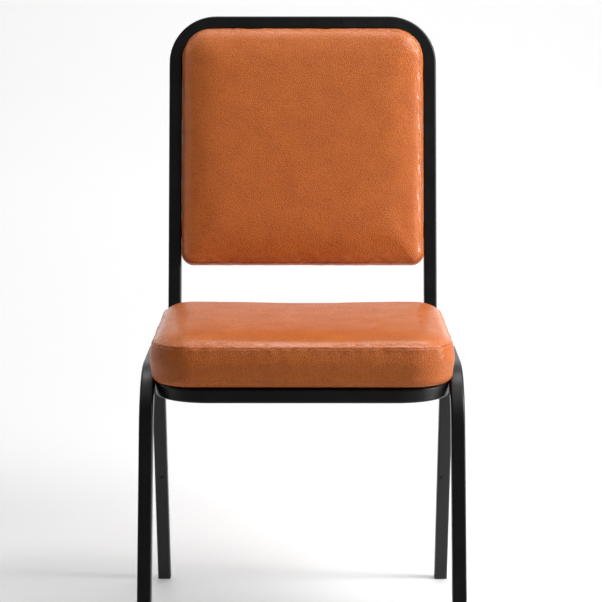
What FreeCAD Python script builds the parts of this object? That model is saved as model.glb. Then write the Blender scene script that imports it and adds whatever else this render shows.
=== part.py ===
import FreeCAD, Part
import math
import os

# A stacking chair: two bent side leg frames, a seat loop and a back hoop of square steel tube,
# with a boxed seat cushion and a boxed back cushion. Millimetres, +Z up, the front faces -Y.
# The origin is on the floor, in the middle of the whole chair's footprint.

Vector = FreeCAD.Vector

# ---- driving dimensions ------------------------------------------------------------------

TUBE = 20.0                 # outside size of the square tube
WALL = 1.2
TUBE_CORNER = 3.0           # outside corner radius of the tube's section

CHAIR_WIDTH = 460.0         # over the two side leg frames
RAIL_TOP = 400.0            # top of the side rails
FRONT_FOOT_Y = -289.10      # front face of a front leg, at the floor
FRONT_RAKE = 16.3           # degrees from upright
REAR_FOOT_Y = 163.90        # front face of a rear leg, at the floor
REAR_RAKE = 15.5
FRONT_BEND = 94.0           # centreline radius between front leg and side rail
TIGHT_BEND = 42.0           # centreline radius between side rail and rear leg, and seat and back

LOOP_TOP = 379.8            # top of the seat loop
LOOP_FRONT_Y = -203.10      # front face of the seat loop
LOOP_CORNER = 68.0          # centreline radius of the loop's front corners
JOINT_Y = -3.10             # where the loop and the hoop meet, end to end

RECLINE = 12.8              # degrees, of the back from upright
BACK_Y = 162.51             # the hoop's middle plane crosses the height BACK_Z here
BACK_Z = 370.0
HOOP_LENGTH = 527.6         # from BACK_Z to the top of the hoop, along the recline
HOOP_CORNER = 64.0          # centreline radius of the top corners

CROSS_RAIL_YS = (-93.1, 86.9)
SEAT_SCREW_X = 120.0
SLEEVE_LENGTH = 60.0
SLEEVE_CORNER = 0.6         # inside corner radius of a joint sleeve

SEAT_HALF_WIDTH = 213.0
SEAT_FRONT_Y = -211.10
SEAT_REAR_Y = 152.90
SEAT_FRONT_CORNER = 62.0
SEAT_REAR_CORNER = 38.0
SEAT_BOTTOM = LOOP_TOP + 1.0    # one dust cover above the loop
SEAT_CROWN = 451.0
SEAT_ROLL = 16.0            # radius of the rolled lower edge
SEAT_SHOULDER = 11.0        # radius of the upper edge
RAIL_CLEARANCE = 0.5        # between the cushion's sides and the side rails
RAIL_OVERLAP = 1.5          # the sides stay pressed in this far above the rails

BACK_HALF_WIDTH = 189.2
BACK_LOW = 133.5            # along the recline, from BACK_Z
BACK_HIGH = 506.5
BACK_TOP_CORNER = 53.0
BACK_LOW_CORNER = 19.0
BACK_FACE = -30.0           # across the recline, from the hoop's middle plane
BACK_RIM = 2.0
BACK_SHOULDER = 10.0
BACK_REAR_ROLL = 4.0

SKIN = 1.2                  # upholstery cover
TURN_UNDER = 28.0           # cover folded round behind each board
DUST_COVER = 1.0
DUST_COVER_INSET = 18.0
SEAT_BOARD = 12.0
SEAT_BOARD_INSET = 17.0
BACK_BOARD = 9.0
BACK_BOARD_INSET = 6.0
REAR_PANEL = 3.0
REAR_PANEL_INSET = 5.0

TAB_LENGTH = 30.0           # welded tabs that carry the back cushion
TAB_HEIGHT = 26.0
TAB_THICK = 2.0
TAB_CORNER = 6.0            # rounding of a tab's free corners
TAB_HEIGHTS = (190.0, 440.0)
BACK_SCREW_X = 173.0

SEAT_SHANK = 6.0            # machine screws through the cross rails
SEAT_HEAD = 12.0
SEAT_HEAD_HEIGHT = 4.0
SEAT_HOLE = 6.8
WASHER = 1.2
WASHER_SIZE = 16.0
WASHER_HOLE = 6.6
BACK_SHANK = 5.0            # machine screws through the tabs
BACK_HEAD = 9.0
BACK_HEAD_HEIGHT = 2.8
BACK_HOLE = 6.0
TAB_HOLE = 5.6
HEAD_ROUND = 0.55           # rounding of a screw's head, as a share of its height
TEE_PLATE = 1.2             # tee nuts in the boards
TEE_FLANGE = 17.0
TEE_BARREL = 7.8
BACK_FLANGE = 15.0
BACK_BARREL = 6.6
TEE_FIT = 0.1               # clearance round a barrel and round a shank
TEE_SHORT = 2.0             # a barrel ends this far short of the board's other face
FLANGE_FIT = 0.2            # clearance round a flange, in the foam
TEE_POCKET = 8.0            # depth of the pockets in the seat foam above the tee nuts
BACK_POCKET = 6.0

GLIDE_CAP = 6.0             # foot glide below the tube's end
GLIDE_PLUG = 24.0
GLIDE_ROUND = 1.6
SLIDE_FIT = 0.2             # clearance of a plastic or steel plug in the tube's bore

BUMPER_Z = 176.0            # stacking bumpers on the rear legs
BUMPER_INBOARD = 2.0
BUMPER_HEAD = 7.0
BUMPER_PROUD = 2.0
BUMPER_STEM = 4.6
BUMPER_REACH = 3.0          # stem inside the tube
BUMPER_FIT = 0.1

FAR = 500.0                 # longer than any part of the chair, for cutting shapes
DEEP = 60.0                 # deeper than any hole

BORE = TUBE - 2 * WALL
BORE_CORNER = TUBE_CORNER - WALL
HALF = TUBE / 2


# ---- tube bending ------------------------------------------------------------------------

def rounded_square(size, corner, centre, across, along):
    """Face of a rounded square, square to `along`, with two sides parallel to `across`."""
    straight = size / 2 - corner
    points = []
    for quarter in range(4):
        turn = math.radians(90 * quarter)
        corner_x = straight * (math.cos(turn) - math.sin(turn))
        corner_y = straight * (math.sin(turn) + math.cos(turn))
        for angle in (0, 45, 90):
            a = turn + math.radians(angle)
            points.append(Vector(corner_x + corner * math.cos(a), corner_y + corner * math.sin(a), 0))
    edges = []
    for quarter in range(4):
        start, middle, end = points[3 * quarter:3 * quarter + 3]
        edges.append(Part.Arc(start, middle, end).toShape())
        edges.append(Part.LineSegment(end, points[(3 * quarter + 3) % 12]).toShape())
    face = Part.Face(Part.Wire(edges))
    up = along.cross(across)
    face.Placement = FreeCAD.Placement(centre, FreeCAD.Rotation(across, up, along, "ZXY"))
    return face


def bent_bar(corners, radii, size, corner, across):
    """Solid bar along straight runs between `corners`, with an arc of each radius between runs."""
    pieces = []
    start = corners[0]
    for i in range(1, len(corners)):
        run = (corners[i] - corners[i - 1]).normalize()
        end = corners[i]
        if i < len(corners) - 1:
            after = (corners[i + 1] - corners[i]).normalize()
            turn = run.getAngle(after)
            end = corners[i] - run * (radii[i - 1] * math.tan(turn / 2))
        section = rounded_square(size, corner, start, across, run)
        pieces.append(section.extrude(end - start))
        if i == len(corners) - 1:
            break
        axis = run.cross(after).normalize()
        centre = end + axis.cross(run) * radii[i - 1]
        section = rounded_square(size, corner, end, across, run)
        pieces.append(section.revolve(centre, axis, math.degrees(turn)))
        swing = FreeCAD.Rotation(axis, math.degrees(turn))
        across = swing.multVec(across)
        start = centre + swing.multVec(end - centre)
    return pieces[0].multiFuse(pieces[1:]).removeSplitter()


def bent_tube(corners, radii, across):
    """Hollow square tube along the same kind of path."""
    outside = bent_bar(corners, radii, TUBE, TUBE_CORNER, across)
    inside = bent_bar(corners, radii, BORE, BORE_CORNER, across)
    return outside.cut(inside)


def slab(low, high):
    """Everything between two heights."""
    return Part.makeBox(2 * FAR, 2 * FAR, high - low, Vector(-FAR, -FAR, low))


def mirrored(shape):
    return shape.mirror(Vector(0, 0, 0), Vector(1, 0, 0))


def cylinder(radius, start, end):
    return Part.makeCylinder(radius, (end - start).Length, start, end - start)


# ---- side leg frames, glides and stacking bumpers ----------------------------------------

SIDE_X = CHAIR_WIDTH / 2 - HALF
LOOP_X = CHAIR_WIDTH / 2 - TUBE - HALF
LOOP_Z = LOOP_TOP - HALF


def leg_corners(x):
    """Centreline corners of one side leg frame, carried on a little below the floor."""
    below = -40.0
    rail = RAIL_TOP - HALF
    front = math.radians(FRONT_RAKE)
    rear = math.radians(REAR_RAKE)
    front_middle = FRONT_FOOT_Y + HALF / math.cos(front)
    rear_middle = REAR_FOOT_Y + HALF / math.cos(rear)
    return [Vector(x, front_middle + below * math.tan(front), below),
            Vector(x, front_middle + rail * math.tan(front), rail),
            Vector(x, rear_middle - rail * math.tan(rear), rail),
            Vector(x, rear_middle - below * math.tan(rear), below)]


def leg_bar(x, size, corner):
    return bent_bar(leg_corners(x), (FRONT_BEND, TIGHT_BEND), size, corner, Vector(1, 0, 0))


def bumper_spot(x):
    """Where a bumper sits on the front face of a rear leg, and the direction into the leg."""
    lean = math.radians(REAR_RAKE)
    inwards = Vector(0, math.cos(lean), math.sin(lean))
    across = x - math.copysign(BUMPER_INBOARD, x)
    return Vector(across, REAR_FOOT_Y - BUMPER_Z * math.tan(lean), BUMPER_Z), inwards


def bumper(x):
    """Push-in bumper: a domed head on the rear leg's front face, and a stem through the wall."""
    spot, inwards = bumper_spot(x)
    head = cylinder(BUMPER_HEAD / 2, spot - inwards * BUMPER_PROUD, spot)
    rims = [e for e in head.Edges if e.Closed and (e.CenterOfMass - spot).dot(inwards) < -BUMPER_PROUD / 2]
    head = head.makeFillet(BUMPER_PROUD * 0.7, rims)
    stem = cylinder(BUMPER_STEM / 2, spot, spot + inwards * (WALL + BUMPER_REACH))
    return head.fuse(stem).removeSplitter()


def leg_frame(x):
    tube = leg_bar(x, TUBE, TUBE_CORNER).cut(leg_bar(x, BORE, BORE_CORNER))
    tube = tube.common(slab(GLIDE_CAP, RAIL_TOP + TUBE))
    spot, inwards = bumper_spot(x)
    hole = cylinder(BUMPER_STEM / 2 + BUMPER_FIT, spot - inwards * TUBE_CORNER, spot + inwards * HALF)
    return tube.cut(hole)


def glide(x, is_front):
    """Foot glide: a cap as wide as the tube, rounded under its edge, and a plug up the bore."""
    side = Part.makeBox(2 * FAR, FAR, FAR, Vector(-FAR, -FAR if is_front else 0, -HALF))
    cap = leg_bar(x, TUBE, TUBE_CORNER).common(slab(0, GLIDE_CAP)).common(side)
    rim = [edge for edge in cap.Edges if abs(edge.BoundBox.ZMax) < 0.01]
    cap = cap.makeFillet(GLIDE_ROUND, rim)
    plug = leg_bar(x, BORE - SLIDE_FIT, BORE_CORNER)
    plug = plug.common(slab(GLIDE_CAP, GLIDE_CAP + GLIDE_PLUG)).common(side)
    return cap.fuse(plug).removeSplitter()


# ---- seat loop, back hoop and what joins them --------------------------------------------

def reclined(x, across, along):
    """A point given in the back's own frame: across it to the rear, and along it upwards."""
    lean = math.radians(RECLINE)
    return Vector(x, BACK_Y + across * math.cos(lean) + along * math.sin(lean),
                  BACK_Z - across * math.sin(lean) + along * math.cos(lean))


def recline(shape):
    """Carry a shape from the back's own frame to the chair's."""
    placed = shape.copy()
    lean = FreeCAD.Placement(Vector(0, BACK_Y, BACK_Z), FreeCAD.Rotation(Vector(1, 0, 0), -RECLINE))
    placed.Placement = lean.multiply(placed.Placement)
    return placed


def seat_loop():
    front = LOOP_FRONT_Y + HALF
    corners = [Vector(-LOOP_X, JOINT_Y, LOOP_Z), Vector(-LOOP_X, front, LOOP_Z),
               Vector(LOOP_X, front, LOOP_Z), Vector(LOOP_X, JOINT_Y, LOOP_Z)]
    return bent_tube(corners, (LOOP_CORNER, LOOP_CORNER), Vector(1, 0, 0))


def back_hoop():
    low = (LOOP_Z - BACK_Z) / math.cos(math.radians(RECLINE))
    high = HOOP_LENGTH - HALF
    corners = [Vector(-LOOP_X, JOINT_Y, LOOP_Z), reclined(-LOOP_X, 0, low), reclined(-LOOP_X, 0, high),
               reclined(LOOP_X, 0, high), reclined(LOOP_X, 0, low), Vector(LOOP_X, JOINT_Y, LOOP_Z)]
    return bent_tube(corners, (TIGHT_BEND, HOOP_CORNER, HOOP_CORNER, TIGHT_BEND), Vector(1, 0, 0))


def joint_sleeve(x):
    """Inner tube that joins the loop to the hoop inside their bores."""
    size = BORE - SLIDE_FIT
    reach = SLEEVE_LENGTH / 2
    ends = [Vector(x, JOINT_Y - reach, LOOP_Z), Vector(x, JOINT_Y + reach, LOOP_Z)]
    outside = bent_bar(ends, (), size, BORE_CORNER, Vector(1, 0, 0))
    inside = bent_bar(ends, (), size - 2 * WALL, SLEEVE_CORNER, Vector(1, 0, 0))
    return outside.cut(inside)


def cross_rail(y):
    """Tube across the seat loop, with two holes for the seat screws."""
    reach = LOOP_X - HALF
    rail = bent_tube([Vector(-reach, y, LOOP_Z), Vector(reach, y, LOOP_Z)], (), Vector(0, 1, 0))
    for x in (-SEAT_SCREW_X, SEAT_SCREW_X):
        rail = rail.cut(Part.makeCylinder(SEAT_HOLE / 2, DEEP, Vector(x, y, LOOP_Z - DEEP / 2)))
    return rail


def back_tabs():
    """Four flat tabs, welded to the inner faces of the uprights."""
    tabs = []
    for side in (-1, 1):
        for height in TAB_HEIGHTS:
            low_x = min(side * (LOOP_X - HALF), side * (LOOP_X - HALF - TAB_LENGTH))
            tab = Part.makeBox(TAB_LENGTH, TAB_THICK, TAB_HEIGHT,
                               Vector(low_x, BACK_RIM + REAR_PANEL, height - TAB_HEIGHT / 2))
            free_side = [e for e in tab.Edges
                         if abs(e.BoundBox.XLength) < 0.01 and abs(e.BoundBox.ZLength) < 0.01
                         and abs(e.CenterOfMass.x) < LOOP_X - HALF - 1]
            tab = tab.makeFillet(TAB_CORNER, free_side)
            spot = Vector(side * BACK_SCREW_X, 0, height)
            hole = cylinder(TAB_HOLE / 2, spot, spot + Vector(0, TUBE, 0))
            tabs.append(recline(tab.cut(hole)))
    return Part.makeCompound(tabs)


# ---- cushions ----------------------------------------------------------------------------

def plan_face(half, low, high, low_corner, high_corner, inset):
    """Rounded rectangle in X and Y, `inset` smaller all round, with its own corner radii."""
    half -= inset
    low += inset
    high -= inset
    low_corner = max(low_corner - inset, 3.0)
    high_corner = max(high_corner - inset, 3.0)
    slant = math.sqrt(0.5)
    edges = []
    corners = ((half, high, high_corner, 1, 1), (-half, high, high_corner, -1, 1),
               (-half, low, low_corner, -1, -1), (half, low, low_corner, 1, -1))
    ends = []
    for x, y, r, sx, sy in corners:
        centre = Vector(x - sx * r, y - sy * r, 0)
        side = centre + Vector(sx * r, 0, 0)
        end = centre + Vector(0, sy * r, 0)
        middle = centre + Vector(sx * r * slant, sy * r * slant, 0)
        ends.append((side, middle, end) if sx * sy > 0 else (end, middle, side))
    for i, (start, middle, end) in enumerate(ends):
        edges.append(Part.Arc(start, middle, end).toShape())
        edges.append(Part.LineSegment(end, ends[(i + 1) % 4][0]).toShape())
    return Part.Face(Part.Wire(edges))


def rim_at(shape, z):
    """The edges of a shape that lie in the plane at height z."""
    return [e for e in shape.Edges if abs(e.BoundBox.ZMin - z) < 0.01 and abs(e.BoundBox.ZMax - z) < 0.01]


def pillow(outline, bottom, top, bottom_round, top_round, inset):
    """Boxed cushion shape: an outline raised from bottom to top, with rounded rims."""
    block = plan_face(*outline, inset).extrude(Vector(0, 0, top - bottom - 2 * inset))
    block.translate(Vector(0, 0, bottom + inset))
    block = block.makeFillet(top_round - inset, rim_at(block, top - inset))
    return block.makeFillet(bottom_round - inset, rim_at(block, bottom + inset))


def plate(outline, inset, low, high):
    """Flat sheet of the outline, inset, between two heights."""
    sheet = plan_face(*outline, inset).extrude(Vector(0, 0, high - low))
    sheet.translate(Vector(0, 0, low))
    return sheet


SEAT_OUTLINE = (SEAT_HALF_WIDTH, SEAT_FRONT_Y, SEAT_REAR_Y, SEAT_FRONT_CORNER, SEAT_REAR_CORNER)
SEAT_SCREWS = [Vector(x, y, 0) for y in CROSS_RAIL_YS for x in (-SEAT_SCREW_X, SEAT_SCREW_X)]
SEAT_BOARD_BOTTOM = SEAT_BOTTOM + SKIN
SEAT_BOARD_TOP = SEAT_BOARD_BOTTOM + SEAT_BOARD


def beside_rails(shape, extra):
    """Press the cushion's sides in where the side rails pass them."""
    reach = CHAIR_WIDTH / 2 - TUBE - RAIL_CLEARANCE - extra
    height = RAIL_TOP + RAIL_OVERLAP + extra
    notch = Part.makeBox(FAR, 2 * FAR, height, Vector(reach, -FAR, 0))
    return shape.cut(notch).cut(mirrored(notch))


def seat_board():
    board = plate(SEAT_OUTLINE, SEAT_BOARD_INSET, SEAT_BOARD_BOTTOM, SEAT_BOARD_TOP)
    for spot in SEAT_SCREWS:
        board = board.cut(Part.makeCylinder(TEE_BARREL / 2, FAR, spot))
    return board


def seat_inside():
    inside = pillow(SEAT_OUTLINE, SEAT_BOTTOM, SEAT_CROWN, SEAT_ROLL, SEAT_SHOULDER, SKIN)
    return beside_rails(inside, SKIN)


def seat_foam():
    board = plate(SEAT_OUTLINE, SEAT_BOARD_INSET, SEAT_BOARD_BOTTOM, SEAT_BOARD_TOP)
    foam = seat_inside().cut(board)
    for spot in SEAT_SCREWS:
        pocket = Part.makeCylinder(TEE_FLANGE / 2 + FLANGE_FIT, TEE_POCKET, spot + Vector(0, 0, SEAT_BOARD_TOP))
        foam = foam.cut(pocket)
    return foam


def seat_cover():
    outside = pillow(SEAT_OUTLINE, SEAT_BOTTOM, SEAT_CROWN, SEAT_ROLL, SEAT_SHOULDER, 0.0)
    outside = beside_rails(outside, 0.0)
    opening = plate(SEAT_OUTLINE, SEAT_ROLL + TURN_UNDER, SEAT_BOTTOM - 1, SEAT_BOARD_BOTTOM + 1)
    return outside.cut(seat_inside()).cut(opening)


def seat_dust_cover():
    sheet = plate(SEAT_OUTLINE, DUST_COVER_INSET, SEAT_BOTTOM - DUST_COVER, SEAT_BOTTOM)
    for spot in SEAT_SCREWS:
        sheet = sheet.cut(Part.makeCylinder(SEAT_HOLE / 2, FAR, spot))
    return sheet


# ---- screws, washers and tee nuts --------------------------------------------------------

def pan_screw(shank, head, head_height, length):
    """Pan-head screw pointing +Z, its head's underside at the origin, with a cross recess."""
    cap = Part.makeCylinder(head / 2, head_height, Vector(0, 0, -head_height))
    cap = cap.makeFillet(head_height * HEAD_ROUND, rim_at(cap, -head_height))
    screw = cap.fuse(Part.makeCylinder(shank / 2, length)).removeSplitter()
    slot = head / 2
    width = head / 8
    for turn in (0, 90):
        arm = Part.makeBox(slot, width, head_height / 2, Vector(-slot / 2, -width / 2, -head_height))
        arm.rotate(Vector(0, 0, 0), Vector(0, 0, 1), turn)
        screw = screw.cut(arm)
    return screw


def tee_nut(bore, barrel, flange, depth):
    """Tee nut whose flange lies on Z = 0 and whose barrel goes down into the board."""
    nut = Part.makeCylinder(flange / 2, TEE_PLATE).fuse(
        Part.makeCylinder(barrel / 2, depth, Vector(0, 0, -depth)))
    return nut.removeSplitter().cut(Part.makeCylinder(bore / 2, DEEP, Vector(0, 0, -DEEP / 2)))


def at_each(shape, spots):
    copies = []
    for spot in spots:
        item = shape.copy()
        item.translate(spot)
        copies.append(item)
    return Part.makeCompound(copies)


def seat_fasteners():
    underside = LOOP_TOP - TUBE
    screw = pan_screw(SEAT_SHANK, SEAT_HEAD, SEAT_HEAD_HEIGHT, SEAT_BOARD_TOP - underside + WASHER)
    screw.translate(Vector(0, 0, underside - WASHER))
    washer = Part.makeCylinder(WASHER_SIZE / 2, WASHER).cut(Part.makeCylinder(WASHER_HOLE / 2, WASHER))
    washer.translate(Vector(0, 0, underside - WASHER))
    nut = tee_nut(SEAT_SHANK + TEE_FIT, TEE_BARREL - TEE_FIT, TEE_FLANGE, SEAT_BOARD - TEE_SHORT)
    nut.translate(Vector(0, 0, SEAT_BOARD_TOP))
    return at_each(screw, SEAT_SCREWS), at_each(washer, SEAT_SCREWS), at_each(nut, SEAT_SCREWS)


# ---- back cushion, made lying down and then stood up in the hoop -------------------------

BACK_OUTLINE = (BACK_HALF_WIDTH, BACK_LOW, BACK_HIGH, BACK_LOW_CORNER, BACK_TOP_CORNER)
BACK_SCREWS = [Vector(x, height, 0) for height in TAB_HEIGHTS for x in (-BACK_SCREW_X, BACK_SCREW_X)]
BOARD_REAR = BACK_RIM - SKIN
BOARD_FRONT = BOARD_REAR - BACK_BOARD


def stand_up(shape):
    """From lying face down, with Y along the back and Z to its rear, to its place in the hoop."""
    upright = shape.copy()
    upright.rotate(Vector(0, 0, 0), Vector(0, 1, 0), 180)
    upright.rotate(Vector(0, 0, 0), Vector(1, 0, 0), 90)
    return recline(upright)


def screw_holes(shape, radius):
    for spot in BACK_SCREWS:
        shape = shape.cut(Part.makeCylinder(radius, DEEP, spot + Vector(0, 0, -DEEP / 2)))
    return shape


def back_inside():
    return pillow(BACK_OUTLINE, BACK_FACE, BACK_RIM, BACK_SHOULDER, BACK_REAR_ROLL, SKIN)


def back_board():
    return screw_holes(plate(BACK_OUTLINE, BACK_BOARD_INSET, BOARD_FRONT, BOARD_REAR), BACK_BARREL / 2)


def back_foam():
    foam = back_inside().cut(plate(BACK_OUTLINE, BACK_BOARD_INSET, BOARD_FRONT, BOARD_REAR))
    for spot in BACK_SCREWS:
        low = spot + Vector(0, 0, BOARD_FRONT - BACK_POCKET)
        foam = foam.cut(Part.makeCylinder(BACK_FLANGE / 2 + FLANGE_FIT, BACK_POCKET, low))
    return foam


def back_cover():
    outside = pillow(BACK_OUTLINE, BACK_FACE, BACK_RIM, BACK_SHOULDER, BACK_REAR_ROLL, 0.0)
    opening = plate(BACK_OUTLINE, TURN_UNDER, BOARD_REAR - 1, BACK_RIM + 1)
    return screw_holes(outside.cut(back_inside()).cut(opening), BACK_HOLE / 2)


def back_rear_panel():
    panel = plate(BACK_OUTLINE, REAR_PANEL_INSET, BACK_RIM, BACK_RIM + REAR_PANEL)
    return screw_holes(panel, BACK_HOLE / 2)


def back_fasteners():
    outer = BACK_RIM + REAR_PANEL + TAB_THICK
    screw = pan_screw(BACK_SHANK, BACK_HEAD, BACK_HEAD_HEIGHT, outer - BOARD_FRONT)
    screw.rotate(Vector(0, 0, 0), Vector(1, 0, 0), 180)
    screw.translate(Vector(0, 0, outer))
    nut = tee_nut(BACK_SHANK + TEE_FIT, BACK_BARREL - TEE_FIT, BACK_FLANGE, BACK_BOARD - TEE_SHORT)
    nut.rotate(Vector(0, 0, 0), Vector(1, 0, 0), 180)
    nut.translate(Vector(0, 0, BOARD_FRONT))
    return at_each(screw, BACK_SCREWS), at_each(nut, BACK_SCREWS)


# ---- the whole chair ---------------------------------------------------------------------

def chair():
    left = leg_frame(-SIDE_X)
    left_bumper = bumper(-SIDE_X)
    front_glide = glide(-SIDE_X, True)
    rear_glide = glide(-SIDE_X, False)
    sleeve = joint_sleeve(-LOOP_X)
    seat_screws, seat_washers, seat_nuts = seat_fasteners()
    back_screws, back_nuts = back_fasteners()
    return {
        "left_leg_frame": left,
        "right_leg_frame": mirrored(left),
        "seat_loop": seat_loop(),
        "back_hoop": back_hoop(),
        "left_joint_sleeve": sleeve,
        "right_joint_sleeve": mirrored(sleeve),
        "front_cross_rail": cross_rail(CROSS_RAIL_YS[0]),
        "rear_cross_rail": cross_rail(CROSS_RAIL_YS[1]),
        "back_mounting_tabs": back_tabs(),
        "front_left_glide": front_glide,
        "front_right_glide": mirrored(front_glide),
        "rear_left_glide": rear_glide,
        "rear_right_glide": mirrored(rear_glide),
        "left_stacking_bumper": left_bumper,
        "right_stacking_bumper": mirrored(left_bumper),
        "seat_board": seat_board(),
        "seat_foam": seat_foam(),
        "seat_cover": seat_cover(),
        "seat_dust_cover": seat_dust_cover(),
        "seat_screws": seat_screws,
        "seat_washers": seat_washers,
        "seat_tee_nuts": seat_nuts,
        "back_board": stand_up(back_board()),
        "back_foam": stand_up(back_foam()),
        "back_cover": stand_up(back_cover()),
        "back_rear_panel": stand_up(back_rear_panel()),
        "back_screws": stand_up(back_screws),
        "back_tee_nuts": stand_up(back_nuts),
    }


os.makedirs("parts", exist_ok=True)
for name, shape in chair().items():
    if not shape.isValid():
        raise ValueError(name + " is not a valid shape")
    shape.exportStep("parts/" + name + ".step")
    box = shape.BoundBox
    print("%-24s solids %d  volume %9.0f  x %7.1f %7.1f  y %7.1f %7.1f  z %6.1f %6.1f" % (
        name, len(shape.Solids), shape.Volume, box.XMin, box.XMax, box.YMin, box.YMax, box.ZMin, box.ZMax))
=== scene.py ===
import math

import bpy
import numpy as np
from bpy.props import FloatProperty, FloatVectorProperty, PointerProperty
from mathutils import Matrix, Vector
from mathutils.kdtree import KDTree


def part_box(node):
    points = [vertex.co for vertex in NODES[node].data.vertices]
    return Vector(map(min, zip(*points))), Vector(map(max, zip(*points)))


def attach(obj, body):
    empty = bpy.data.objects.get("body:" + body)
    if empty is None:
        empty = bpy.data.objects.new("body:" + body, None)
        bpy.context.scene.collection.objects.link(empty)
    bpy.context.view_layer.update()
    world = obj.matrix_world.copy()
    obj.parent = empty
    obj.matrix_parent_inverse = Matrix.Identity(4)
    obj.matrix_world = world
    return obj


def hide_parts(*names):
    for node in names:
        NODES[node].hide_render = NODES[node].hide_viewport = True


# Upholstery, welds, fasteners' finishes and a plain studio for a stacking chair of square steel
# tube. Everything is in metres, in the frame of the chair: +Z up, the front faces -Y, and the
# origin is on the floor in the middle of the footprint.

bl_info = {
    "name": "Stacking chair",
    "version": (1, 0, 0),
    "blender": (4, 5, 0),
    "location": "View3D > Sidebar > Chair",
    "description": "Cushions, seams, welds and finishes for a steel stacking chair, and a studio",
    "category": "Object",
}

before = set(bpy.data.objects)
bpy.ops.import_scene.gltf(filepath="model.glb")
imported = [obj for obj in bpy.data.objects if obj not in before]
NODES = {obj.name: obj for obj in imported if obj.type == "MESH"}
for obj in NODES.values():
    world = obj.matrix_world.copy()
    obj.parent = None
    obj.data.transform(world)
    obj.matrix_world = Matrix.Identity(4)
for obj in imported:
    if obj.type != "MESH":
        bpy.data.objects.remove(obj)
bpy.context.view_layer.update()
BODY = "root"
MM = 0.001

TUBE_NODES = ("left_leg_frame", "right_leg_frame", "seat_loop", "back_hoop",
              "front_cross_rail", "rear_cross_rail", "back_mounting_tabs")
GLIDE_NODES = ("front_left_glide", "front_right_glide", "rear_left_glide", "rear_right_glide")
BUMPER_NODES = ("left_stacking_bumper", "right_stacking_bumper")
BLACK_SCREW_NODES = ("seat_screws", "seat_washers", "back_screws")
PLAIN_STEEL_NODES = ("left_joint_sleeve", "right_joint_sleeve", "seat_tee_nuts", "back_tee_nuts")
BOARD_NODES = ("seat_board", "back_board")

# The steel frame, as far as the upholstery and the welds have to know it.
TUBE_HALF = 10 * MM                 # half the width of a square tube
RAIL_INNER = 210 * MM               # inner side of the side rails
RAIL_TOP = 400 * MM
RAIL_BEND = 104 * MM                # outer radius of the bend down to the front leg
RAIL_BEND_START = -94.2 * MM
RAIL_BEND_REAR = 42 * MM            # centreline radius of the bend down to the rear leg
REAR_BEND_START = 34.2 * MM
HOOP_INNER = 190 * MM
HOOP_INNER_TOP = 507.6 * MM         # along the back, from BACK_POINT
HOOP_INNER_CORNER = 54 * MM
TAB_HEIGHTS = (190 * MM, 440 * MM)  # along the back, from BACK_POINT
LOOP_WELDS = ((-98, -60), (-42, -4), (2, 40))  # ends of the beads along the seat's loop, in mm
CLEARANCE = 0.4 * MM                # between the upholstery and a tube beside it

# The back's own axes, as columns: across, up along the recline, and out of the pad's face.
LEAN = math.radians(12.8)
BACK_POINT = np.array(Vector((0, 162.51 * MM, 370 * MM)))
BACK_TURN = np.array(Matrix(((1, 0, 0),
                             (0, math.sin(LEAN), -math.cos(LEAN)),
                             (0, math.cos(LEAN), math.sin(LEAN)))))
BACK_ORIGIN = BACK_TURN.T @ BACK_POINT
UPRIGHT = np.identity(3)            # the seat's axes, which are the chair's

# The upholstery: corners as radii, the rolled edge, how far the cover turns under, and how far in
# from its seam a face is level.
SEAT_SEAM = 439 * MM                # height of the seam round the seat's top panel
SEAT_HALF_WIDTH = 214.6 * MM
SEAT_CORNERS = (62 * MM, 42 * MM)   # front and rear
SEAT_ROLL = 13 * MM
SEAT_TURNED = 44 * MM
SEAT_LEVEL = 84 * MM
SEAT_OVERHANG = 8 * MM              # how far the seat may swell over a side rail
BACK_CORNERS = (19 * MM, 46 * MM)   # lower and upper
BACK_ROLL = 4 * MM
BACK_TURNED = 28 * MM
BACK_LEVEL = 92 * MM
BACK_OVERHANG = 3 * MM
PANEL_CORNERS = (14 * MM, 48 * MM)  # lower and upper
STAPLE_CORNERS = (40 * MM, 18 * MM)  # front and rear
TIGHTEST_CORNER = 10 * MM           # rings further in keep at least this radius

# Sizes of the beads that stitches, staples and welds are made of.
STITCHES = {"Spacing": 4.2 * MM, "Length": 3.3 * MM, "Width": 0.7 * MM, "Height": 0.7 * MM,
            "Unevenness": 0.06}
STAPLES = {"Spacing": 32 * MM, "Length": 11 * MM, "Width": 1.3 * MM, "Height": 0.9 * MM,
           "Unevenness": 0.04}
WELD_RIPPLES = {"Spacing": 1.5 * MM, "Length": 3.6 * MM, "Width": 4.2 * MM, "Height": 3.4 * MM,
                "Unevenness": 0.08}

# The middle of a cushion's face: the size of each ring against the last whole one, and the rings
# that have half as many points as the ring before them.
FACE_SCALES = (0.965, 0.93, 0.89, 0.85, 0.81, 0.77, 0.73, 0.68, 0.63, 0.58, 0.53, 0.48, 0.43,
               0.37, 0.31, 0.25, 0.19, 0.13, 0.07)
HALVING_RINGS = (9, 13, 16)

# The cloth that the cushions are inflated as.
CLOTH_FRAMES = 20
CLOTH_SMOOTHING = 14                # rounds of averaging on how far its points went
CLOTH_NEAREST = 6                   # of its points that move one point of the cushion
CLOTH = {"quality": 5, "mass": 0.3, "tension_stiffness": 25.0, "compression_stiffness": 25.0,
         "shear_stiffness": 12.0, "bending_stiffness": 4.0, "use_pressure": True,
         "vertex_group_mass": "hold"}

# Place, width and height of each light; the setting of the same name has its power.
LIGHTS = {"key": ((1.5, -0.9, 2.3), 1.2, 1.2),
          "top": ((0.1, -0.3, 2.7), 1.8, 1.2),
          "rear": ((0.2, 0.7, 2.6), 1.8, 0.8),
          "left": ((-2.3, 0.4, 1.2), 1.6, 2.2),
          "right": ((2.1, -0.3, 1.1), 0.5, 1.6)}
LIGHT_AIM = (0.0, 0.0, 0.55)
WHITE = (1.0, 1.0, 1.0, 1.0)


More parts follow.
